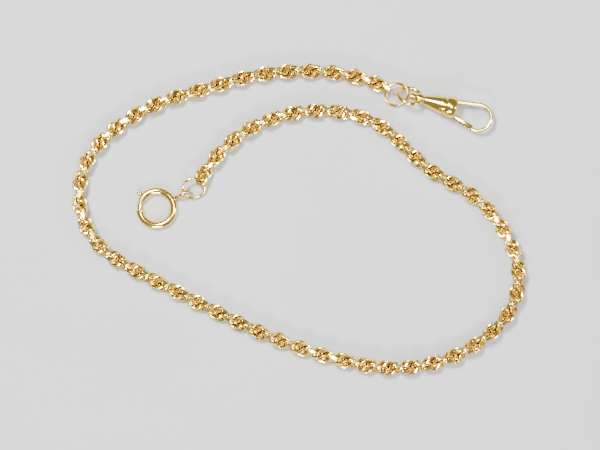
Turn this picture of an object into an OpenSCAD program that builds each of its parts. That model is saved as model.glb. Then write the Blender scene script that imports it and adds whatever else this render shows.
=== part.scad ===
// Pocket watch chain: a rope chain of round wire links, laid out on a flat surface in one folded
// loop, with a spring ring on one end and a swivel hook on the other.
// +Z is up, the chain rests on z = 0, and the origin is the centre of its outline.

/* [Rope] */
// Wire diameter of one rope link
link_wire = 0.57; // [0.55:0.01:0.57]
// Radius of a link's wire centreline
link_r = 1.46; // [1.44:0.01:1.48]
// How far a link's centre stands off the rope's axis
link_offset = 0.24; // [0.2:0.01:0.28]
// Advance along the rope from one link to the next
link_step = 1.08; // [1.06:0.01:1.1]
// Turn about the rope's axis from one link to the next, past half a turn
link_twist = 36; // [36:1:36]
// Turn of the first link about the rope's axis
first_turn = 150; // [150:1:150]
// Angle between a link's plane and a plane across the rope
link_pitch = 87; // [86:0.5:88]
// Angle left open where a link's wire was cut
link_gap = 32; // [30:1:34]
// Where the cut lies around a link
link_gap_at = 260; // [255:1:265]
// Height of the rope's axis over the surface
rope_z = 2; // [2:0.05:2.1]
// Links in one section that hinges as one piece
links_each = 7; // [7:1:7]
// Sections in the rope
sections = 42; // [42:1:42]

/* [Spring ring] */
// Outer diameter of the spring ring
ring_od = 10; // [9.8:0.1:10.2]
// Diameter of its tube
ring_tube = 1.8; // [1.7:0.05:1.8]
// Diameter of the bore along the tube
ring_bore = 1.24; // [1.2:0.01:1.26]
// Start and end of the opening around the ring
ring_open = [153, 189]; // [120:1:220]
// Start and end of the bore around the ring
ring_bored = [44, 214]; // [40:1:220]
// Direction in which the eye leaves the ring
ring_aim = 28.4; // [26:0.1:31]
// Distance of the eye's centre from the ring's centre
eye_at = 7.5; // [7.4:0.05:7.6]
// Outer diameter of the eye
eye_od = 3.6; // [3.5:0.05:3.6]
// Wire diameter of the eye
eye_wire = 0.8; // [0.75:0.05:0.8]
// Height of the eye's centre
eye_z = 1.85; // [1.85:0.05:1.95]
// Diameter of the bolt that closes the opening
bolt_d = 1.1; // [1:0.01:1.1]
// Start and end of the bolt around the ring
bolt_span = [123, 196]; // [120:1:200]
// Where the thumb nub stands around the ring
nub_at = 138; // [137:1:139]
// How far the bolt slides back around the ring
bolt_travel = 42; // [40:1:43]

/* [Jump rings] */
// Wire diameter of the spring ring's jump ring
jump_a_wire = 0.66; // [0.6:0.01:0.68]
// Centreline radius of the spring ring's jump ring
jump_a_r = 2.65; // [2.65:0.01:2.65]
// Wire diameter of the swivel's jump ring
jump_b_wire = 0.62; // [0.6:0.01:0.62]
// Centreline radius of the swivel's jump ring
jump_b_r = 2.75; // [2.75:0.01:2.75]
// Angle left open where a jump ring's wire was cut
jump_gap = 3; // [2:0.5:4]

/* [Swivel] */
// Direction of the swivel's axis
swivel_aim = -15.3; // [-16:0.1:-15]
// Height of the swivel's axis over the surface
swivel_z = 2.75; // [2.73:0.01:2.77]
// Centreline radius of the bail
bail_r = 2.8; // [2.8:0.01:2.85]
// Wire diameter of the bail
bail_wire = 0.9; // [0.88:0.01:0.9]
// Roll of the bail about the swivel's axis
bail_roll = -46; // [-48:1:-44]
// Start and end of the bail's collar along the axis
collar_span = [1.45, 3.25]; // [1:0.05:4]
// Diameter of the collar
collar_d = 2.6; // [2.4:0.1:2.7]
// Diameter of the rivet's head
rivet_head_d = 1.8; // [1.6:0.1:1.8]
// Diameter of the rivet's shank
rivet_d = 0.84; // [0.8:0.01:0.84]
// Start and end of the barrel along the axis
barrel_span = [3.4, 8.3]; // [3:0.05:9]
// Diameters of the barrel's narrow and wide ends
barrel_d = [2.3, 4.6]; // [2:0.1:5]
// Diameter of the groove behind the cap
groove_d = 4; // [3.9:0.1:4.2]
// Start and end of the cap along the axis
cap_span = [8.7, 11.35]; // [8:0.05:12]
// Diameter of the ball that the cap is cut from
cap_d = 5.4; // [5.3:0.05:5.4]

/* [Hook and gate] */
// Wire diameter of the hook
hook_wire = 0.9; // [0.88:0.01:0.9]
// Radius of the hook's bend
hook_r = 3.1; // [3.1:0.1:3.1]
// Centre of the hook's bend, along and across the swivel's axis
hook_at = [17, -0.7]; // [-1:0.1:18]
// Slope of the hook's fixed leg
hook_slope = 8; // [7:1:9]
// Slope of the gate when closed
gate_slope = 17; // [17:1:17]
// Length of the hook's tip inside the gate
hook_tip = 1.2; // [1:0.1:1.3]
// Place of the gate's pin, along and across the axis
pin_at = [9.55, -1.48]; // [-2:0.01:10]
// Diameter of the gate's pin
pin_d = 0.7; // [0.6:0.05:0.7]
// Width of the gate's channel
gate_w = 1.5; // [1.4:0.05:1.5]
// Height of the gate's channel walls
gate_h = 1.1; // [1:0.05:1.15]
// Wall of the gate's channel
gate_wall = 0.22; // [0.2:0.01:0.24]

/* [Hidden] */
$fn = 32;
// Outline of the chain as laid out: [length, turn to the left] of one arc after another
ROUTE = [
    [22, -41], [20, -33], [11, -30], [6, -3], [11, 19], [6, -8], [19, -38],
    [17, -60], [7, -13], [12, -20], [17, -26], [32, -14], [27, -2], [6, -6],
    [30, -97], [7, -13], [18, -21], [11, 1], [21, -19], [9, -10], [9, -18]
];
// First link's place and the heading of the rope there: x, y, degrees
ROUTE_START = [-23.3, 9.8, 61];
links = links_each * sections;
// The first links, soldered shut where the jump ring pulls on them
soldered = 3;
// Gap of a tight fit, gap of a running fit, and lap of a wire's straight leg over its bend
slip = 0.01;
running = 0.05;
lap = 0.1;

ring_r = (ring_od - ring_tube) / 2;
ring_z = ring_tube / 2;
eye_r = (eye_od - eye_wire) / 2;
neck_d = 0.9;
neck_len = 1.25;
neck_lean = 60;
neck_at = [ring_r + 0.5, 0, ring_z + 0.1];
// The thumb nub's slot in the tube: its width, and where it starts and how far it runs
slot_w = 0.5;
slot_from = nub_at - bolt_travel - 3;
slot_turn = ring_open[0] + 5 - slot_from;
nub_stem_d = 0.4;
nub_d = 1.1;
nub_r = ring_od / 2 + 0.75;
// The coil behind the bolt: its turns' centreline radius, wire and places around the ring
coil_r = 0.4;
coil_wire = 0.18;
coil_span = [46, 76];
coil_step = 2.9;
// Where each jump ring was cut
jump_a_cut = 20;
jump_b_cut = 200;

head_len = collar_span[0] - running;
// How far the rivet goes into the barrel
rivet_seat = 2;
barrel_lip = 0.2;
cap_centre = 10;
spigot_d = 3;
spigot_len = 1.1;
pin_len = 4.5;
// The gate's slot in the cap: its width and how near it comes to the cap's axis
gate_slot = gate_w + 2 * running;
slot_top = -0.6;
gate_len = 6.9;
// Where the gate's channel starts
channel_from = 1.6;
hub_d = 1.5;
hub_w = 1.0;
// The turns of wire round the gate's pin: their radius and how far off the middle they lie
gate_coil_r = 0.48;
gate_coil_z = 0.65;
// Start of the hook's fixed leg inside the cap, its end at the bend, and its length
leg_from = 9.9;
leg_x = hook_at[0] - hook_r * sin(hook_slope);
leg_y = hook_at[1] + hook_r * cos(hook_slope);
leg_len = (leg_x - leg_from) / cos(hook_slope);

// Place and heading at the end of an arc of radius r that turns by a from w
function arc_end(w, r, a) = [
    w[0] + r * (sin(w[2] + a) - sin(w[2])),
    w[1] + r * (cos(w[2]) - cos(w[2] + a)),
    w[2] + a
];

// Radius of one arc of the route, positive to the left
function arc_r(i) = ROUTE[i][0] / (ROUTE[i][1] * PI / 180);

// Place and heading at distance s along the route
function route_at(s, i = 0, w = ROUTE_START) =
    i == len(ROUTE) - 1 || s <= ROUTE[i][0]
    ? arc_end(w, arc_r(i), s / ROUTE[i][0] * ROUTE[i][1])
    : route_at(s - ROUTE[i][0], i + 1, arc_end(w, arc_r(i), ROUTE[i][1]));

rope_end = route_at((links - 1) * link_step);

// The fittings' places, measured from the rope's first and last links
jump_a_at = [ROUTE_START[0] - 1.72, ROUTE_START[1] - 2.33, 1.99];
jump_a_tilt = [0, 31, -68];
ring_at = [ROUTE_START[0] - 10.69, ROUTE_START[1] - 7.09, ring_z];
jump_b_at = [rope_end[0] + 2.65, rope_end[1] - 1.65, 1.75];
jump_b_tilt = [0, 24, 293];
bail_at = [rope_end[0] + 5.83, rope_end[1] - 2.02, swivel_z];

function section_name(i) = str("rope_section_", i < 9 ? "0" : "", i + 1);

// Round wire bent to part of a circle in the XY plane, from angle a0 to angle a1
module wire_arc(r, d, a0, a1) {
    rotate([0, 0, a0])
        rotate_extrude(angle = a1 - a0)
            translate([r, 0])
                circle(d = d);
}

// Round wire closed to a full ring in the XY plane
module wire_ring(r, d) {
    rotate_extrude()
        translate([r, 0])
            circle(d = d);
}

// Link number k of the rope
module link(k) {
    w = route_at(k * link_step);
    translate([w[0], w[1], rope_z])
        rotate([90, 0, w[2] + 90])
            rotate([0, 0, k * (180 + link_twist) + first_turn])
                translate([link_offset, 0, 0])
                    rotate([link_pitch, 0, 0])
                        if (k < soldered)
                            wire_ring(link_r, link_wire);
                        else
                            wire_arc(link_r, link_wire, link_gap_at + link_gap / 2,
                                     link_gap_at + 360 - link_gap / 2);
}

module rope_section(i) {
    color("gold")
        for (k = [i * links_each : (i + 1) * links_each - 1])
            link(k);
}

// A jump ring in the XY plane, with its cut at angle a
module cut_ring(r, d, a) {
    wire_arc(r, d, a + jump_gap / 2, a + 360 - jump_gap / 2);
}

module jump_ring_a() {
    color("goldenrod")
        translate(jump_a_at)
            rotate(jump_a_tilt)
                cut_ring(jump_a_r, jump_a_wire, jump_a_cut);
}

module jump_ring_b() {
    color("goldenrod")
        translate(jump_b_at)
            rotate(jump_b_tilt)
                cut_ring(jump_b_r, jump_b_wire, jump_b_cut);
}

// The tube, bored from the eye's side round to its lower mouth, with the nub's slot outside
module spring_ring_body() {
    color("gold")
        translate(ring_at)
            difference() {
                wire_arc(ring_r, ring_tube, ring_open[1], ring_open[0] + 360);
                wire_arc(ring_r, ring_bore, ring_bored[0], ring_bored[1]);
                rotate([0, 0, slot_from])
                    rotate_extrude(angle = slot_turn)
                        translate([ring_r, -slot_w / 2])
                            square([ring_tube, slot_w]);
            }
}

module spring_ring_eye() {
    color("gold")
        translate([ring_at[0], ring_at[1], 0])
            rotate([0, 0, ring_aim])
                difference() {
                    union() {
                        translate([eye_at, 0, eye_z])
                            rotate([90, 0, 0])
                                wire_ring(eye_r, eye_wire);
                        translate(neck_at)
                            rotate([0, neck_lean, 0])
                                cylinder(d = neck_d, h = neck_len);
                    }
                    translate([0, 0, ring_z])
                        wire_ring(ring_r, ring_tube);
                    translate([eye_at, 0, eye_z])
                        rotate([90, 0, 0])
                            cylinder(d = eye_od - 2 * eye_wire, h = eye_od, center = true);
                }
}

module spring_ring_bolt() {
    color("goldenrod")
        translate(ring_at)
            difference() {
                wire_arc(ring_r, bolt_d, bolt_span[0], bolt_span[1]);
                rotate([0, 0, nub_at])
                    translate([ring_r, 0, 0])
                        rotate([0, 90, 0])
                            cylinder(d = nub_stem_d, h = bolt_d);
            }
}

module thumb_nub() {
    color("goldenrod")
        translate(ring_at)
            rotate([0, 0, nub_at]) {
                translate([ring_r, 0, 0])
                    rotate([0, 90, 0])
                        cylinder(d = nub_stem_d, h = nub_r - ring_r);
                translate([nub_r, 0, 0])
                    sphere(d = nub_d);
            }
}

// The coil behind the bolt, drawn at its closed length
module bolt_spring() {
    color("silver")
        translate(ring_at)
            for (a = [coil_span[0] : coil_step : coil_span[1]])
                rotate([0, 0, a])
                    translate([ring_r, 0, 0])
                        rotate([90, 0, 0])
                            wire_ring(coil_r, coil_wire);
}

// Frame of the swivel: x along its axis towards the hook, origin at the bail's centre
module swivel_frame() {
    translate(bail_at)
        rotate([0, 0, swivel_aim])
            children();
}

// A cylinder along the swivel's axis from x0 to x1
module along(x0, x1, d) {
    translate([x0, 0, 0])
        rotate([0, 90, 0])
            cylinder(d = d, h = x1 - x0);
}

module swivel_bail() {
    color("gold")
        swivel_frame()
            difference() {
                union() {
                    rotate([bail_roll, 0, 0])
                        wire_ring(bail_r, bail_wire);
                    along(collar_span[0], collar_span[1], collar_d);
                }
                along(collar_span[0] - 1, collar_span[1] + 1, rivet_d + 2 * running);
            }
}

module swivel_rivet() {
    color("goldenrod")
        swivel_frame() {
            along(0, head_len, rivet_head_d);
            along(head_len / 2, barrel_span[0] + rivet_seat, rivet_d);
        }
}

module swivel_barrel() {
    color("gold")
        swivel_frame()
            difference() {
                rotate([0, 90, 0])
                    rotate_extrude()
                        polygon([
                            [0, barrel_span[0]],
                            [barrel_d[0] / 2, barrel_span[0]],
                            [barrel_d[1] / 2, barrel_span[1] - barrel_lip],
                            [barrel_d[1] / 2, barrel_span[1]],
                            [groove_d / 2, barrel_span[1]],
                            [groove_d / 2, cap_span[0]],
                            [0, cap_span[0]]
                        ]);
                along(barrel_span[0] - 1, barrel_span[0] + rivet_seat, rivet_d + 2 * slip);
                along(cap_span[0] - spigot_len, cap_span[0] + 1, spigot_d + 2 * slip);
            }
}

// The cap's ball with its spigot, drilled for the hook's leg and pin and slotted for the gate
module swivel_cap() {
    color("gold")
        swivel_frame()
            difference() {
                union() {
                    intersection() {
                        translate([cap_centre, 0, 0])
                            sphere(d = cap_d);
                        along(cap_span[0], cap_span[1], cap_d + 1);
                    }
                    along(cap_span[0] - spigot_len + slip, cap_span[0] + 1, spigot_d);
                }
                hook_leg(hook_wire + 2 * slip);
                translate([pin_at[0], pin_at[1], 0])
                    cylinder(d = pin_d + 2 * slip, h = cap_d, center = true);
                translate([pin_at[0] - hub_d / 2 - 2 * running, -cap_d, -gate_slot / 2])
                    cube([cap_d, cap_d + slot_top, gate_slot]);
            }
}

module hook_leg(d) {
    translate([leg_x, leg_y, 0])
        rotate([0, -90, hook_slope])
            translate([0, 0, -lap])
                cylinder(d = d, h = leg_len + lap);
}

module hook() {
    color("gold")
        swivel_frame() {
            hook_leg(hook_wire);
            translate([hook_at[0], hook_at[1], 0])
                wire_arc(hook_r, hook_wire - 2 * slip, -90 - gate_slope, 90 + hook_slope);
            translate([hook_at[0] - hook_r * sin(gate_slope),
                       hook_at[1] - hook_r * cos(gate_slope), 0])
                rotate([0, -90, -gate_slope])
                    translate([0, 0, -lap])
                        cylinder(d = hook_wire, h = hook_tip + lap);
        }
}

// The gate's frame: x along the closed gate from the pin
module gate_frame() {
    swivel_frame()
        translate([pin_at[0], pin_at[1], 0])
            rotate([0, 0, -gate_slope])
                children();
}

// A channel with its open side outwards, so that the hook's tip lies in it when it closes
module gate() {
    color("gold")
        gate_frame()
            difference() {
                union() {
                    translate([0, -gate_h / 2, -gate_w / 2])
                        cube([gate_len, gate_h, gate_w]);
                    cylinder(d = hub_d, h = gate_w, center = true);
                }
                translate([channel_from, -gate_h / 2 - gate_wall, -gate_w / 2 + gate_wall])
                    cube([gate_len, gate_h, gate_w - 2 * gate_wall]);
                cylinder(d = pin_d + 2 * running, h = 2 * gate_w, center = true);
                for (side = [-1, 1])
                    translate([0, 0, side * (hub_w + gate_w) / 2])
                        cylinder(d = hub_d + 4 * running, h = gate_w, center = true);
            }
}

module gate_pin() {
    color("goldenrod")
        swivel_frame()
            translate([pin_at[0], pin_at[1], 0])
                cylinder(d = pin_d, h = pin_len, center = true);
}

// Two turns of spring wire round the pin, one on each side of the gate's hub
module gate_spring() {
    color("silver")
        swivel_frame()
            for (side = [-1, 1])
                translate([pin_at[0], pin_at[1], side * gate_coil_z])
                    wire_ring(gate_coil_r, coil_wire);
}

for (i = [0 : sections - 1])
    rope_section(i);
jump_ring_a();
spring_ring_body();
spring_ring_eye();
spring_ring_bolt();
thumb_nub();
bolt_spring();
jump_ring_b();
swivel_bail();
swivel_rivet();
swivel_barrel();
swivel_cap();
hook();
gate();
gate_pin();
gate_spring();
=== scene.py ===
"""Looks of the pocket watch chain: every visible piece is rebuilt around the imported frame."""
import math

import bpy
from mathutils import Matrix, Vector


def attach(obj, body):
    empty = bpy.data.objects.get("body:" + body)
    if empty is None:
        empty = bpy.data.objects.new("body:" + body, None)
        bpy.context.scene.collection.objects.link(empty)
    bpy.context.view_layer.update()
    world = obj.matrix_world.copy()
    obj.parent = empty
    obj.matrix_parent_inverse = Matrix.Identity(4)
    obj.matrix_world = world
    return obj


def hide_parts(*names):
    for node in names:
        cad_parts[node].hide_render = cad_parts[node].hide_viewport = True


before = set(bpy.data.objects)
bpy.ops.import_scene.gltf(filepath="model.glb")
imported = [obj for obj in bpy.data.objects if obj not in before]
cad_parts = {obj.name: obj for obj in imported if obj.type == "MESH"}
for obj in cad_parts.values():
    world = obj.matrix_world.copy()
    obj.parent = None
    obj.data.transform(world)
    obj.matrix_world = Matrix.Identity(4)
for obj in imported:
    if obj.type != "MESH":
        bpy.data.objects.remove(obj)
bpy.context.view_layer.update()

MM = 0.001
TAU = 2 * math.pi

# The rope, in millimetres and degrees. Its route and length are the frame's, and its links are
# laid closer than the frame's by SHOWN_SHARE, with the twist from link to link reduced to match
SHOWN_SHARE = 0.7
FRAME_LINKS = 294
FRAME_STEP = 1.08
FRAME_TWIST = 36
LINK_STEP = FRAME_STEP * SHOWN_SHARE
LINK_TWIST = FRAME_TWIST * SHOWN_SHARE
LINK_OFFSET = 0.24
FIRST_TURN = 150
LINK_PITCH = 87
LINK_GAP = 32
LINK_GAP_AT = 260
# Each link leans a little off its place in the lay, by up to UNEVEN degrees
UNEVEN = 1.2
UNEVEN_RATE = 12.9898
ROPE_Z = 2.0
LINKS_EACH = 10
SECTIONS = 42
# How many of the first links are closed rings
SOLDERED = 3
# Stretches of the route: length, and turn to the left
ROUTE = [
    (22, -41), (20, -33), (11, -30), (6, -3), (11, 19), (6, -8), (19, -38),
    (17, -60), (7, -13), (12, -20), (17, -26), (32, -14), (27, -2), (6, -6),
    (30, -97), (7, -13), (18, -21), (11, 1), (21, -19), (9, -10), (9, -18),
]
# Where the rope starts, and its heading there
ROUTE_START = (-23.3, 9.8, 61)

# Detail that only shows here: the links' full wire and the flat that is cut on their outsides
SHOWN_WIRE = 0.78
SHOWN_R = 1.37
FACET_DEPTH = 0.25
FACET_ANGLES = [4, 10, 16, 20, 24, 28]
LINK_SIDES = 12
LINK_STEPS = 34
SOLDERED_STEP = 9

# How far a sawn end's rim is softened
RIM = 0.04


# ---------------------------------------------------------------- geometry helpers

def arc_end(w, r, a):
    """Place and heading at the end of an arc of radius r that turns by a degrees from w."""
    h0 = math.radians(w[2])
    h1 = math.radians(w[2] + a)
    x = w[0] + r * (math.sin(h1) - math.sin(h0))
    y = w[1] + r * (math.cos(h0) - math.cos(h1))
    return (x, y, w[2] + a)


def route_at(s):
    """Place and heading at distance s along the rope's route."""
    w = ROUTE_START
    for i, (length, turn) in enumerate(ROUTE):
        r = length / math.radians(turn)
        if i == len(ROUTE) - 1 or s <= length:
            return arc_end(w, r, s / length * turn)
        w = arc_end(w, r, turn)
        s -= length


def point_at(r, degrees):
    """A point on a circle of radius r round the origin."""
    a = math.radians(degrees)
    return (r * math.cos(a), r * math.sin(a))


def turned(axis, degrees):
    return Matrix.Rotation(math.radians(degrees), 4, axis)


def placed(x, y, z):
    return Matrix.Translation((x, y, z))


def frame_of(at, turn=(0, 0, 0)):
    """A frame at a point, turned about X, then Y, then Z."""
    return placed(*at) @ turned("Z", turn[2]) @ turned("Y", turn[1]) @ turned("X", turn[0])


def new_piece(name, verts, faces, materials, face_materials=None, sharp=30):
    """An object from points in millimetres, smooth but for edges sharper than the angle given."""
    mesh = bpy.data.meshes.new(name)
    mesh.from_pydata([tuple(c * MM for c in v) for v in verts], [], faces)
    for material in materials:
        mesh.materials.append(material)
    if face_materials:
        mesh.polygons.foreach_set("material_index", face_materials)
    mesh.polygons.foreach_set("use_smooth", [True] * len(mesh.polygons))
    mesh.update()
    mesh.set_sharp_from_angle(angle=math.radians(sharp))
    piece = bpy.data.objects.new(name, mesh)
    bpy.context.scene.collection.objects.link(piece)
    return piece


def skin(rings, closed=False, caps=True):
    """Faces over a row of rings that have the same number of points each."""
    n = len(rings[0])
    verts = [p for ring in rings for p in ring]
    faces = []
    rows = len(rings) if closed else len(rings) - 1
    for i in range(rows):
        a = i * n
        b = (i + 1) % len(rings) * n
        for j in range(n):
            k = (j + 1) % n
            faces.append((a + j, a + k, b + k, b + j))
    if caps and not closed:
        faces.append(tuple(reversed(range(n))))
        faces.append(tuple(range((len(rings) - 1) * n, len(rings) * n)))
    return verts, faces


def wire_rings(r, d, a0, a1, steps, sides, fine=None):
    """Rings of points round a wire bent on radius r from angle a0 to a1, in the XY plane."""
    angles = [a0 + (a1 - a0) * i / steps for i in range(steps + 1)]
    if fine:
        angles = sorted(set(angles) | set(fine))
    return [wire_ring_at(r, d / 2, a, sides) for a in angles]


def wire_ring_at(r, rw, a, sides, forward=0.0):
    """One ring of points round a wire at angle a, moved forward along the wire."""
    ca = math.cos(math.radians(a))
    sa = math.sin(math.radians(a))
    ring = []
    for j in range(sides):
        b = TAU * j / sides
        rad = r + rw * math.cos(b)
        ring.append(Vector((rad * ca - forward * sa, rad * sa + forward * ca, rw * math.sin(b))))
    return ring


def cut_ends(rings, r, d, a0, a1, sides):
    """Rings with a sawn end added at each end of an open wire, its rim softened."""
    small = d / 2 - RIM
    first = wire_ring_at(r, small, a0, sides, -RIM)
    last = wire_ring_at(r, small, a1, sides, RIM)
    return [first] + rings + [last]


def bent_wire(name, place, r, d, a0, a1, material, steps=72, sides=20):
    """An open ring of round wire with sawn ends."""
    rings = cut_ends(wire_rings(r, d, a0, a1, steps, sides), r, d, a0, a1, sides)
    verts, faces = skin(rings)
    return new_piece(name, [place @ v for v in verts], faces, [material])


def lathe(profile, sides=64):
    """Rings of points for an outline of (x, radius) pairs turned about the X axis."""
    rings = []
    for x, rad in profile:
        ring = []
        for j in range(sides):
            b = TAU * j / sides
            ring.append(Vector((x, rad * math.cos(b), rad * math.sin(b))))
        rings.append(ring)
    return rings


def turned_piece(name, place, profile, material, sides=64, sharp=30):
    verts, faces = skin(lathe(profile, sides))
    return new_piece(name, [place @ v for v in verts], faces, [material], sharp=sharp)


def box_piece(name, place, low, high):
    """A plain box, used only to cut or to join."""
    verts = [Vector((x, y, z)) for x in (low[0], high[0]) for y in (low[1], high[1])
             for z in (low[2], high[2])]
    faces = [(0, 1, 3, 2), (4, 6, 7, 5), (0, 4, 5, 1), (2, 3, 7, 6), (0, 2, 6, 4), (1, 5, 7, 3)]
    return new_piece(name, [place @ v for v in verts], faces, [])


def combine(piece, tool, operation):
    """Cuts the tool from the piece or joins it on, and drops the tool."""
    step = piece.modifiers.new("step", "BOOLEAN")
    step.operation = operation
    step.object = tool
    step.solver = "EXACT"
    settle(piece)
    bpy.data.objects.remove(tool)


def settle(piece):
    """Applies a piece's modifiers to its mesh."""
    graph = bpy.context.evaluated_depsgraph_get()
    mesh = bpy.data.meshes.new_from_object(piece.evaluated_get(graph))
    piece.modifiers.clear()
    piece.data = mesh


def soften(piece, width):
    """Rounds a piece's sharp edges by a small width and shades the rest smooth."""
    bevel = piece.modifiers.new("soften", "BEVEL")
    bevel.width = width * MM
    bevel.segments = 2
    bevel.limit_method = "ANGLE"
    bevel.angle_limit = math.radians(35)
    settle(piece)
    mesh = piece.data
    mesh.polygons.foreach_set("use_smooth", [True] * len(mesh.polygons))
    mesh.set_sharp_from_angle(angle=math.radians(50))


def ride(piece, body, slot, *nodes):
    """Settles which body a piece moves with and hides the CAD nodes it stands for; the finish it is
    given is not used.
    """
    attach(piece, body)
    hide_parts(*nodes)


# ---------------------------------------------------------------- materials

def gold(name, shade, painted_shade_colour, rough, scratch):
    """Polished gilt metal: worn tone, painted shade in its recesses (a darker colour mixed in by
    ambient occlusion) and fine polishing marks.
    """
    material = bpy.data.materials.new(name)
    material.use_nodes = True
    nodes = material.node_tree.nodes
    links = material.node_tree.links
    shader = nodes["Principled BSDF"]
    shader.inputs["Metallic"].default_value = 1.0

    place = nodes.new("ShaderNodeTexCoord")

    tone = nodes.new("ShaderNodeTexNoise")
    tone.inputs["Scale"].default_value = 160.0
    tone.inputs["Detail"].default_value = 4.0
    links.new(place.outputs["Object"], tone.inputs["Vector"])
    tone_mix = nodes.new("ShaderNodeMix")
    tone_mix.data_type = "RGBA"
    tone_mix.inputs["A"].default_value = (*shade, 1)
    tone_mix.inputs["B"].default_value = (*[c * k for c, k in zip(shade, (0.97, 0.9, 0.72))], 1)
    links.new(tone.outputs["Fac"], tone_mix.inputs["Factor"])

    # Painted shade: ambient occlusion mixes a darker colour into recesses and the gaps between
    # parts, where shade falls
    painted_shade_ao = nodes.new("ShaderNodeAmbientOcclusion")
    painted_shade_ao.samples = 8
    painted_shade_ao.inputs["Distance"].default_value = 0.9 * MM
    painted_shade_range = nodes.new("ShaderNodeMapRange")
    painted_shade_range.inputs["From Min"].default_value = 0.15
    painted_shade_range.inputs["From Max"].default_value = 0.75
    links.new(painted_shade_ao.outputs["AO"], painted_shade_range.inputs["Value"])
    painted_shade_mix = nodes.new("ShaderNodeMix")
    painted_shade_mix.data_type = "RGBA"
    painted_shade_mix.inputs["A"].default_value = (*painted_shade_colour, 1)
    links.new(painted_shade_range.outputs["Result"], painted_shade_mix.inputs["Factor"])
    links.new(tone_mix.outputs["Result"], painted_shade_mix.inputs["B"])
    links.new(painted_shade_mix.outputs["Result"], shader.inputs["Base Color"])

    marks = nodes.new("ShaderNodeTexNoise")
    marks.inputs["Scale"].default_value = 900.0
    marks.inputs["Detail"].default_value = 6.0
    marks.inputs["Roughness"].default_value = 0.65
    links.new(place.outputs["Object"], marks.inputs["Vector"])
    rough_range = nodes.new("ShaderNodeMapRange")
    rough_range.inputs["To Min"].default_value = rough * 0.6
    rough_range.inputs["To Max"].default_value = rough * 1.5
    links.new(marks.outputs["Fac"], rough_range.inputs["Value"])
    links.new(rough_range.outputs["Result"], shader.inputs["Roughness"])

    bump = nodes.new("ShaderNodeBump")
    bump.inputs["Strength"].default_value = scratch
    bump.inputs["Distance"].default_value = 0.02 * MM
    links.new(marks.outputs["Fac"], bump.inputs["Height"])
    links.new(bump.outputs["Normal"], shader.inputs["Normal"])
    return material


def steel(name):
    """Bright drawn spring wire."""
    material = bpy.data.materials.new(name)
    material.use_nodes = True
    nodes = material.node_tree.nodes
    links = material.node_tree.links
    shader = nodes["Principled BSDF"]
    shader.inputs["Metallic"].default_value = 1.0
    shader.inputs["Base Color"].default_value = (0.55, 0.55, 0.57, 1)
    place = nodes.new("ShaderNodeTexCoord")
    marks = nodes.new("ShaderNodeTexNoise")
    marks.inputs["Scale"].default_value = 2500.0
    links.new(place.outputs["Object"], marks.inputs["Vector"])
    rough_range = nodes.new("ShaderNodeMapRange")
    rough_range.inputs["To Min"].default_value = 0.2
    rough_range.inputs["To Max"].default_value = 0.45
    links.new(marks.outputs["Fac"], rough_range.inputs["Value"])
    links.new(rough_range.outputs["Result"], shader.inputs["Roughness"])
    return material


def pale_floor():
    """A plain pale backdrop with a faint unevenness."""
    material = bpy.data.materials.new("pale_floor")
    material.use_nodes = True
    nodes = material.node_tree.nodes
    links = material.node_tree.links
    shader = nodes["Principled BSDF"]
    shader.inputs["Roughness"].default_value = 0.7
    shader.inputs["Specular IOR Level"].default_value = 0.2
    tone = nodes.new("ShaderNodeTexNoise")
    tone.inputs["Scale"].default_value = 30.0
    mix = nodes.new("ShaderNodeMix")
    mix.data_type = "RGBA"
    mix.inputs["A"].default_value = (0.33, 0.335, 0.34, 1)
    mix.inputs["B"].default_value = (0.36, 0.365, 0.37, 1)
    links.new(tone.outputs["Fac"], mix.inputs["Factor"])
    links.new(mix.outputs["Result"], shader.inputs["Base Color"])
    return material


# The second colour given to each gold is the painted shade for its recesses
ROPE_GOLD = gold("rope_gold", (1.0, 0.70, 0.13), (0.46, 0.25, 0.03), 0.15, 0.25)
# The cut flats' gold: its lower roughness is the polish of the cut, its paler colour is a painted
# highlight
CUT_FLAT_PAINTED_HIGHLIGHT = gold("cut_flat_painted_highlight", (1.0, 0.84, 0.36), (0.72, 0.48, 0.10), 0.13, 0.05)
FITTING_GOLD = gold("fitting_gold", (1.0, 0.73, 0.18), (0.42, 0.25, 0.04), 0.12, 0.15)
WIRE_GOLD = gold("wire_gold", (1.0, 0.72, 0.16), (0.42, 0.24, 0.03), 0.14, 0.2)
STEEL = steel("spring_steel")


# ---------------------------------------------------------------- places of the fittings

ROPE_END = route_at((FRAME_LINKS - 1) * FRAME_STEP)
JUMP_GAP = 3
JUMP_A_AT = (ROUTE_START[0] - 1.72, ROUTE_START[1] - 2.33, 1.99)
JUMP_B_AT = (ROPE_END[0] + 2.65, ROPE_END[1] - 1.65, 1.75)

RING_R = 4.1
TUBE_RAD = 0.9
BORE_RAD = 0.62
BOLT_RAD = 0.55
SEAM = 0.05
FLARE = 0.07
FLARE_SPAN = 9
SLOT_HALF = 0.25
TUBE_POINTS = sorted(set(range(0, 360, 10)) | {176, 184})
RING_OPEN = (153, 189)
BOLT_SPAN = (123, 196)
NUB_AT = 138
BOLT_TRAVEL = 42
EYE_AT = 28.4
RING_PLACE = placed(ROUTE_START[0] - 10.69, ROUTE_START[1] - 7.09, TUBE_RAD)

SWIVEL = frame_of((ROPE_END[0] + 5.83, ROPE_END[1] - 2.02, 2.75), (0, 0, -15.3))
CAP_RAD = 2.7
CAP_X = 10.0
PIN_AT = (9.55, -1.48)
HOOK_RAD = 0.45
HOOK_R = 3.1
HOOK_AT = (17, -0.7)
LEG_LEAN = 8
LEG_AT = (HOOK_AT[0] - HOOK_R * math.sin(math.radians(LEG_LEAN)),
          HOOK_AT[1] + HOOK_R * math.cos(math.radians(LEG_LEAN)))
LEG_BORE_X = 9.9
HOOK_END = -107
GATE_LEAN = -17
GATE_PLACE = SWIVEL @ placed(*PIN_AT, 0) @ turned("Z", GATE_LEAN)


# ---------------------------------------------------------------- the rope

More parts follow.
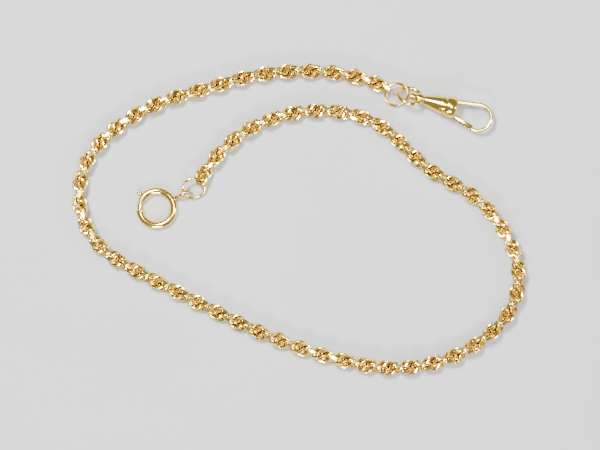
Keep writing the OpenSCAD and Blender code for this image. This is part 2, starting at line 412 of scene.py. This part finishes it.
def link_place(k):
    """The frame of link k: its wire lies round the origin in the XY plane, +X is off the rope."""
    x, y, heading = route_at(k * LINK_STEP)
    lean = math.sin(k * UNEVEN_RATE) * UNEVEN
    return (
        frame_of((x, y, ROPE_Z), (90, 0, heading + 90))
        @ turned("Z", k * (180 + LINK_TWIST) + FIRST_TURN + lean)
        @ placed(LINK_OFFSET, 0, 0)
        @ turned("X", LINK_PITCH)
    )


def link_mesh(k):
    """One link's points, faces and face materials: a cut ring with a flat cut on its outside."""
    fine = [-a for a in FACET_ANGLES] + FACET_ANGLES
    if k < SOLDERED:
        angles = sorted(set(range(-180, 180, SOLDERED_STEP)) | set(fine))
        rings = [wire_ring_at(SHOWN_R, SHOWN_WIRE / 2, a, LINK_SIDES) for a in angles]
        verts, faces = skin(rings, closed=True)
    else:
        a0 = LINK_GAP_AT + LINK_GAP / 2
        a1 = LINK_GAP_AT + 360 - LINK_GAP / 2
        fine = [a + 360 for a in fine]
        rings = wire_rings(SHOWN_R, SHOWN_WIRE, a0, a1, LINK_STEPS, LINK_SIDES, fine)
        rings = cut_ends(rings, SHOWN_R, SHOWN_WIRE, a0, a1, LINK_SIDES)
        verts, faces = skin(rings)
    limit = SHOWN_R + SHOWN_WIRE / 2 - FACET_DEPTH
    flat = [v.x > limit for v in verts]
    for v, cut in zip(verts, flat):
        if cut:
            v.x = limit
    # Faces of the cut flat take the second material, whose paler colour is a painted highlight
    face_materials = [1 if all(flat[i] for i in face) else 0 for face in faces]
    place = link_place(k)
    return [place @ v for v in verts], faces, face_materials


def rope_section(i):
    """The links of one section, joined as one piece."""
    verts = []
    faces = []
    face_materials = []
    for k in range(i * LINKS_EACH, (i + 1) * LINKS_EACH):
        v, f, m = link_mesh(k)
        base = len(verts)
        verts += v
        faces += [tuple(j + base for j in face) for face in f]
        face_materials += m
    number = "%02d" % (i + 1)
    piece = new_piece("rope_links_" + number, verts, faces, [ROPE_GOLD, CUT_FLAT_PAINTED_HIGHLIGHT], face_materials)
    ride(piece, "rope_" + number, "rope_gold", "rope_section_" + number)


for section in range(SECTIONS):
    rope_section(section)


# ---------------------------------------------------------------- spring-ring end

def jump_ring(name, place, r, d, cut_at, body):
    """A thin ring of wire, sawn through at one angle."""
    half = JUMP_GAP / 2
    ring = bent_wire(name, place, r, d, cut_at + half, cut_at + 360 - half, WIRE_GOLD)
    ride(ring, body, "fitting_gold", body)


def jump_rings():
    place_a = frame_of(JUMP_A_AT, (0, 31, -68))
    jump_ring("jump_ring_by_spring_ring", place_a, 2.65, 0.66, 20, "jump_ring_a")
    place_b = frame_of(JUMP_B_AT, (0, 24, 293))
    jump_ring("jump_ring_by_swivel", place_b, 2.75, 0.62, 200, "jump_ring_b")


def tube_ring(a, rad, groove=0.0, forward=0.0):
    """Points round the spring ring's tube at angle a, with its rolled seam along the inside."""
    ca = math.cos(math.radians(a))
    sa = math.sin(math.radians(a))
    ring = []
    for b in TUBE_POINTS:
        r = rad - (groove if b == 180 else 0)
        out = RING_R + r * math.cos(math.radians(b))
        ring.append(Vector((out * ca - forward * sa, out * sa + forward * ca,
                            r * math.sin(math.radians(b)))))
    return ring


def spring_ring_tube():
    """The bored tube: in at the lower mouth, round the outside and in at the upper mouth."""
    lower, upper = RING_OPEN[1], RING_OPEN[0] + 360
    wall = TUBE_RAD - BORE_RAD
    rings = [tube_ring(a, BORE_RAD) for a in range(lower + 22, lower, -3)]
    rings.append(tube_ring(lower, BORE_RAD + 0.02))
    rings.append(tube_ring(lower, BORE_RAD + wall / 3 + 0.04, 0, -RIM))
    rings.append(tube_ring(lower, TUBE_RAD, 0, -RIM / 2))
    for a in range(lower, upper + 1, 3):
        flare = FLARE * max(0, 1 - (a - lower) / FLARE_SPAN)
        rings.append(tube_ring(a, TUBE_RAD + flare, SEAM))
    rings.append(tube_ring(upper, TUBE_RAD - RIM, SEAM, RIM))
    rings.append(tube_ring(upper, BORE_RAD + RIM, 0, RIM))
    rings += [tube_ring(a, BORE_RAD) for a in range(upper, upper - 109, -3)]
    verts, faces = skin(rings)
    piece = new_piece("spring_ring", [RING_PLACE @ v for v in verts], faces, [FITTING_GOLD])
    slot = []
    inner, outer = RING_R, RING_R + 2
    corners = [(inner, -SLOT_HALF), (outer, -SLOT_HALF), (outer, SLOT_HALF), (inner, SLOT_HALF)]
    for a in range(NUB_AT - BOLT_TRAVEL - 4, RING_OPEN[0] + 9, 3):
        slot.append([Vector((*point_at(r, a), z)) for r, z in corners])
    verts, faces = skin(slot)
    combine(piece, new_piece("slot", [RING_PLACE @ v for v in verts], faces, []), "DIFFERENCE")
    ride(piece, "spring_ring", "fitting_gold", "spring_ring_body")


def spring_ring_eye():
    """The closed loop that stands on edge beside the tube, and its tapered neck."""
    aim = RING_PLACE @ turned("Z", EYE_AT)
    eye = aim @ placed(7.5, 0, 0.95) @ turned("X", 90)
    rings = [wire_ring_at(1.4, 0.4, a, 28) for a in range(0, 360, 5)]
    verts, faces = skin(rings, closed=True)
    piece = new_piece("spring_ring_eye", [eye @ v for v in verts], faces, [FITTING_GOLD])
    neck = aim @ placed(RING_R + 0.62, 0, 0.08) @ turned("Y", -30)
    profile = [(0, 0.62), (0.12, 0.56), (0.4, 0.46), (0.8, 0.44), (1.15, 0.5), (1.2, 0.4)]
    verts, faces = skin(lathe(profile, 40))
    tool = new_piece("neck", [neck @ v for v in verts], faces, [FITTING_GOLD])
    combine(piece, tool, "UNION")
    ride(piece, "spring_ring", "fitting_gold", "spring_ring_eye")


def spring_ring_bolt():
    """The sliding rod, domed at both ends, and the headed nub that moves it."""
    start, end = BOLT_SPAN
    dome = []
    for turn in (20, 40, 60, 80):
        dome.append((BOLT_RAD * math.cos(math.radians(turn)), 0.3 - BOLT_RAD * 0.55 * turn / 80))
    rings = [wire_ring_at(RING_R, rad, start, 28, back) for rad, back in reversed(dome)]
    rings += [wire_ring_at(RING_R, BOLT_RAD, a, 28) for a in range(start + 4, end - 3, 3)]
    rings += [wire_ring_at(RING_R, rad, end, 28, -back) for rad, back in dome]
    verts, faces = skin(rings)
    piece = new_piece("bolt", [RING_PLACE @ v for v in verts], faces, [WIRE_GOLD])
    ride(piece, "bolt", "fitting_gold", "spring_ring_bolt")
    profile = [(4.15, 0.19), (5.02, 0.19), (5.06, 0.34), (5.16, 0.38), (5.26, 0.32), (5.3, 0.26),
               (5.36, 0.36), (5.46, 0.48), (5.6, 0.55), (5.76, 0.56), (5.92, 0.52), (6.06, 0.43),
               (6.18, 0.28), (6.24, 0.12)]
    nub = turned_piece("thumb_nub", RING_PLACE @ turned("Z", NUB_AT), profile, FITTING_GOLD, 32, 60)
    ride(nub, "bolt", "fitting_gold", "thumb_nub")


# ---------------------------------------------------------------- swivel-hook end

def swivel_bail():
    """The ring, with the round collar that the rivet turns in."""
    place = SWIVEL @ turned("X", -46)
    rings = [wire_ring_at(2.8, 0.45, a, 28) for a in range(0, 360, 4)]
    verts, faces = skin(rings, closed=True)
    piece = new_piece("bail", [place @ v for v in verts], faces, [FITTING_GOLD])
    profile = [(1.47, 0.9), (1.5, 1.08), (1.62, 1.2), (1.95, 1.29), (2.35, 1.3), (2.75, 1.28),
               (3.08, 1.18), (3.21, 1.05), (3.24, 0.9)]
    verts, faces = skin(lathe(profile, 56))
    combine(piece, new_piece("collar", [SWIVEL @ v for v in verts], faces, [FITTING_GOLD]), "UNION")
    verts, faces = skin(lathe([(0.5, 0.47), (4.2, 0.47)], 40))
    combine(piece, new_piece("bore", [SWIVEL @ v for v in verts], faces, []), "DIFFERENCE")
    ride(piece, "bail", "fitting_gold", "swivel_bail")


def swivel_rivet():
    """The headed post that holds the barrel to the bail."""
    profile = [(0.0, 0.45), (0.04, 0.68), (0.14, 0.82), (0.3, 0.89), (0.6, 0.9), (1.3, 0.9),
               (1.37, 0.87), (1.4, 0.8), (1.4, 0.42), (5.4, 0.42)]
    piece = turned_piece("rivet", SWIVEL, profile, FITTING_GOLD, 48)
    ride(piece, "swivel", "fitting_gold", "swivel_rivet")


def swivel_barrel():
    """The cone, with a line and a groove turned at its wide end."""
    profile = [(3.42, 0.5), (3.4, 0.95), (3.42, 1.08), (3.5, 1.15), (3.62, 1.2), (7.45, 2.12),
               (7.5, 2.08), (7.56, 2.08), (7.61, 2.16), (7.95, 2.26), (8.12, 2.3), (8.24, 2.29),
               (8.3, 2.22), (8.32, 2.05), (8.42, 1.98), (8.6, 1.98), (8.68, 2.0), (8.7, 1.9)]
    piece = turned_piece("barrel", SWIVEL, profile, FITTING_GOLD, 96, 40)
    ride(piece, "swivel", "fitting_gold", "swivel_barrel")


def swivel_cap():
    """The ball, rounded over at its ends, slotted for the gate and drilled for the hook."""
    profile = [(8.6, 1.5), (8.7, 1.5), (8.7, 2.2), (8.74, 2.32)]
    for step in range(13):
        x = 8.84 + step * 0.2
        profile.append((x, math.sqrt(CAP_RAD ** 2 - (x - CAP_X) ** 2)))
    profile += [(11.3, 2.3), (11.34, 2.2), (11.35, 2.05), (11.35, 0.3)]
    piece = turned_piece("cap", SWIVEL, profile, FITTING_GOLD, 96, 40)
    slot = box_piece("slot", SWIVEL, (PIN_AT[0] - 0.85, -5.4, -0.8), (PIN_AT[0] + 5, -0.6, 0.8))
    combine(piece, slot, "DIFFERENCE")
    verts, faces = skin(lathe([(-0.2, 0.46), (8, 0.46)], 40))
    leg_y = LEG_AT[1] - (LEG_AT[0] - LEG_BORE_X) * math.tan(math.radians(LEG_LEAN))
    leg = SWIVEL @ placed(LEG_BORE_X, leg_y, 0) @ turned("Z", LEG_LEAN)
    combine(piece, new_piece("bore", [leg @ v for v in verts], faces, []), "DIFFERENCE")
    ride(piece, "swivel", "fitting_gold", "swivel_cap")


def wire_section(x, y, heading, rad, sides=28):
    """Points round a wire at a place in the XY plane that runs along the heading."""
    c = math.cos(math.radians(heading))
    s = math.sin(math.radians(heading))
    ring = []
    for j in range(sides):
        b = TAU * j / sides
        side = rad * math.cos(b)
        ring.append(Vector((x - side * s, y + side * c, rad * math.sin(b))))
    return ring


def hook():
    """One bent wire: the leg from the cap, the bend, and the tip that lies in the gate."""
    rings = []
    for back in (6.73, 6.7, 5, 4, 3, 2, 1, 0.4):
        dx, dy = point_at(back, LEG_LEAN)
        rings.append(wire_section(LEG_AT[0] - dx, LEG_AT[1] - dy, LEG_LEAN, HOOK_RAD))
    for a in range(90 + LEG_LEAN, HOOK_END - 1, -5):
        dx, dy = point_at(HOOK_R, a)
        rings.append(wire_section(HOOK_AT[0] + dx, HOOK_AT[1] + dy, a - 90, HOOK_RAD))
    tip = 180 + GATE_LEAN
    end_x, end_y = point_at(HOOK_R, HOOK_END)
    for on, share in ((0.4, 1), (0.8, 1), (1.05, 0.96), (1.15, 0.85), (1.2, 0.6)):
        dx, dy = point_at(on, tip)
        at = (HOOK_AT[0] + end_x + dx, HOOK_AT[1] + end_y + dy)
        rings.append(wire_section(*at, tip, HOOK_RAD * share))
    verts, faces = skin(rings)
    piece = new_piece("hook_wire", [SWIVEL @ v for v in verts], faces, [FITTING_GOLD])
    ride(piece, "swivel", "fitting_gold", "hook")


def gate():
    """A folded channel, open outwards, with a hub between the cap's cheeks."""
    outline = [(1.3, -0.3), (1.7, -0.52), (2.1, -0.55), (6.4, -0.55), (6.75, -0.42), (6.9, -0.15),
               (6.9, 0.3), (6.82, 0.46), (6.65, 0.55), (0.2, 0.55), (0.2, -0.1)]
    walls = []
    for z in (-0.75, 0.75):
        walls.append([Vector((x, y, z)) for x, y in outline])
    verts, faces = skin(walls)
    piece = new_piece("gate", [GATE_PLACE @ v for v in verts], faces, [FITTING_GOLD])
    channel = box_piece("channel", GATE_PLACE, (1.6, -1.2, -0.53), (8, 0.33, 0.53))
    combine(piece, channel, "DIFFERENCE")
    for z in (-1.5, 0.5):
        side = box_piece("side", GATE_PLACE, (-1, -1, z), (0.95, 1, z + 1))
        combine(piece, side, "DIFFERENCE")
    hub = GATE_PLACE @ turned("Y", 90)
    verts, faces = skin(lathe([(-0.5, 0.75), (0.5, 0.75)], 40))
    combine(piece, new_piece("hub", [hub @ v for v in verts], faces, [FITTING_GOLD]), "UNION")
    soften(piece, 0.05)
    ride(piece, "gate", "fitting_gold", "gate")


def gate_pin():
    """The gate's rivet, domed where it shows on the cap."""
    place = SWIVEL @ placed(*PIN_AT, 0) @ turned("Y", 90)
    profile = [(-2.38, 0.12), (-2.34, 0.26), (-2.26, 0.35), (2.26, 0.35), (2.34, 0.26), (2.38, 0.12)]
    piece = turned_piece("gate_rivet", place, profile, WIRE_GOLD, 32, 50)
    ride(piece, "swivel", "fitting_gold", "gate_pin")


def hidden_springs():
    """The two coil springs stay the frame's own meshes, in steel."""
    for node in ("bolt_spring", "gate_spring"):
        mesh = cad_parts[node].data
        mesh.materials.clear()
        mesh.materials.append(STEEL)


jump_rings()
spring_ring_tube()
spring_ring_eye()
spring_ring_bolt()
swivel_bail()
swivel_rivet()
swivel_barrel()
swivel_cap()
hook()
gate()
gate_pin()
hidden_springs()


# ---------------------------------------------------------------- stage, light and camera

VIEW_RANGE = 0.55
VIEW_WIDTH = 0.1428
FLOOR_HALF = 0.6


def area_light(name, at, size, power):
    """A soft white rectangle of light, aimed at the origin."""
    data = bpy.data.lights.new(name, "AREA")
    data.shape = "RECTANGLE"
    data.size = size[0]
    data.size_y = size[1]
    data.energy = power
    light = bpy.data.objects.new(name, data)
    light.location = at
    aim = -Vector(at)
    light.rotation_euler = aim.to_track_quat("-Z", "Y").to_euler()
    bpy.context.scene.collection.objects.link(light)


def stage():
    half = FLOOR_HALF
    mesh = bpy.data.meshes.new("floor")
    corners = [(-half, -half, 0), (half, -half, 0), (half, half, 0), (-half, half, 0)]
    mesh.from_pydata(corners, [], [(0, 1, 2, 3)])
    mesh.materials.append(pale_floor())
    floor = bpy.data.objects.new("floor", mesh)
    bpy.context.scene.collection.objects.link(floor)

    world = bpy.data.worlds.new("studio")
    world.use_nodes = True
    background = world.node_tree.nodes["Background"]
    background.inputs["Color"].default_value = (1.0, 0.98, 0.94, 1)
    background.inputs["Strength"].default_value = 0.28
    bpy.context.scene.world = world

    area_light("key", (-0.16, 0.20, 0.50), (0.16, 0.12), 11)
    area_light("top", (0.10, 0.02, 0.62), (0.20, 0.15), 3)
    area_light("front", (-0.05, -0.38, 0.30), (0.20, 0.10), 3.5)
    area_light("side", (0.42, -0.06, 0.30), (0.10, 0.14), 2)


def camera():
    """Straight above the chain, with VIEW_WIDTH across the picture at VIEW_RANGE."""
    data = bpy.data.cameras.new("camera")
    data.sensor_width = 36
    data.lens = data.sensor_width * VIEW_RANGE / VIEW_WIDTH
    data.clip_start = 0.01
    eye = bpy.data.objects.new("camera", data)
    eye.location = (0.0002, -0.0013, 0.552)
    bpy.context.scene.collection.objects.link(eye)
    bpy.context.scene.camera = eye


stage()
camera()
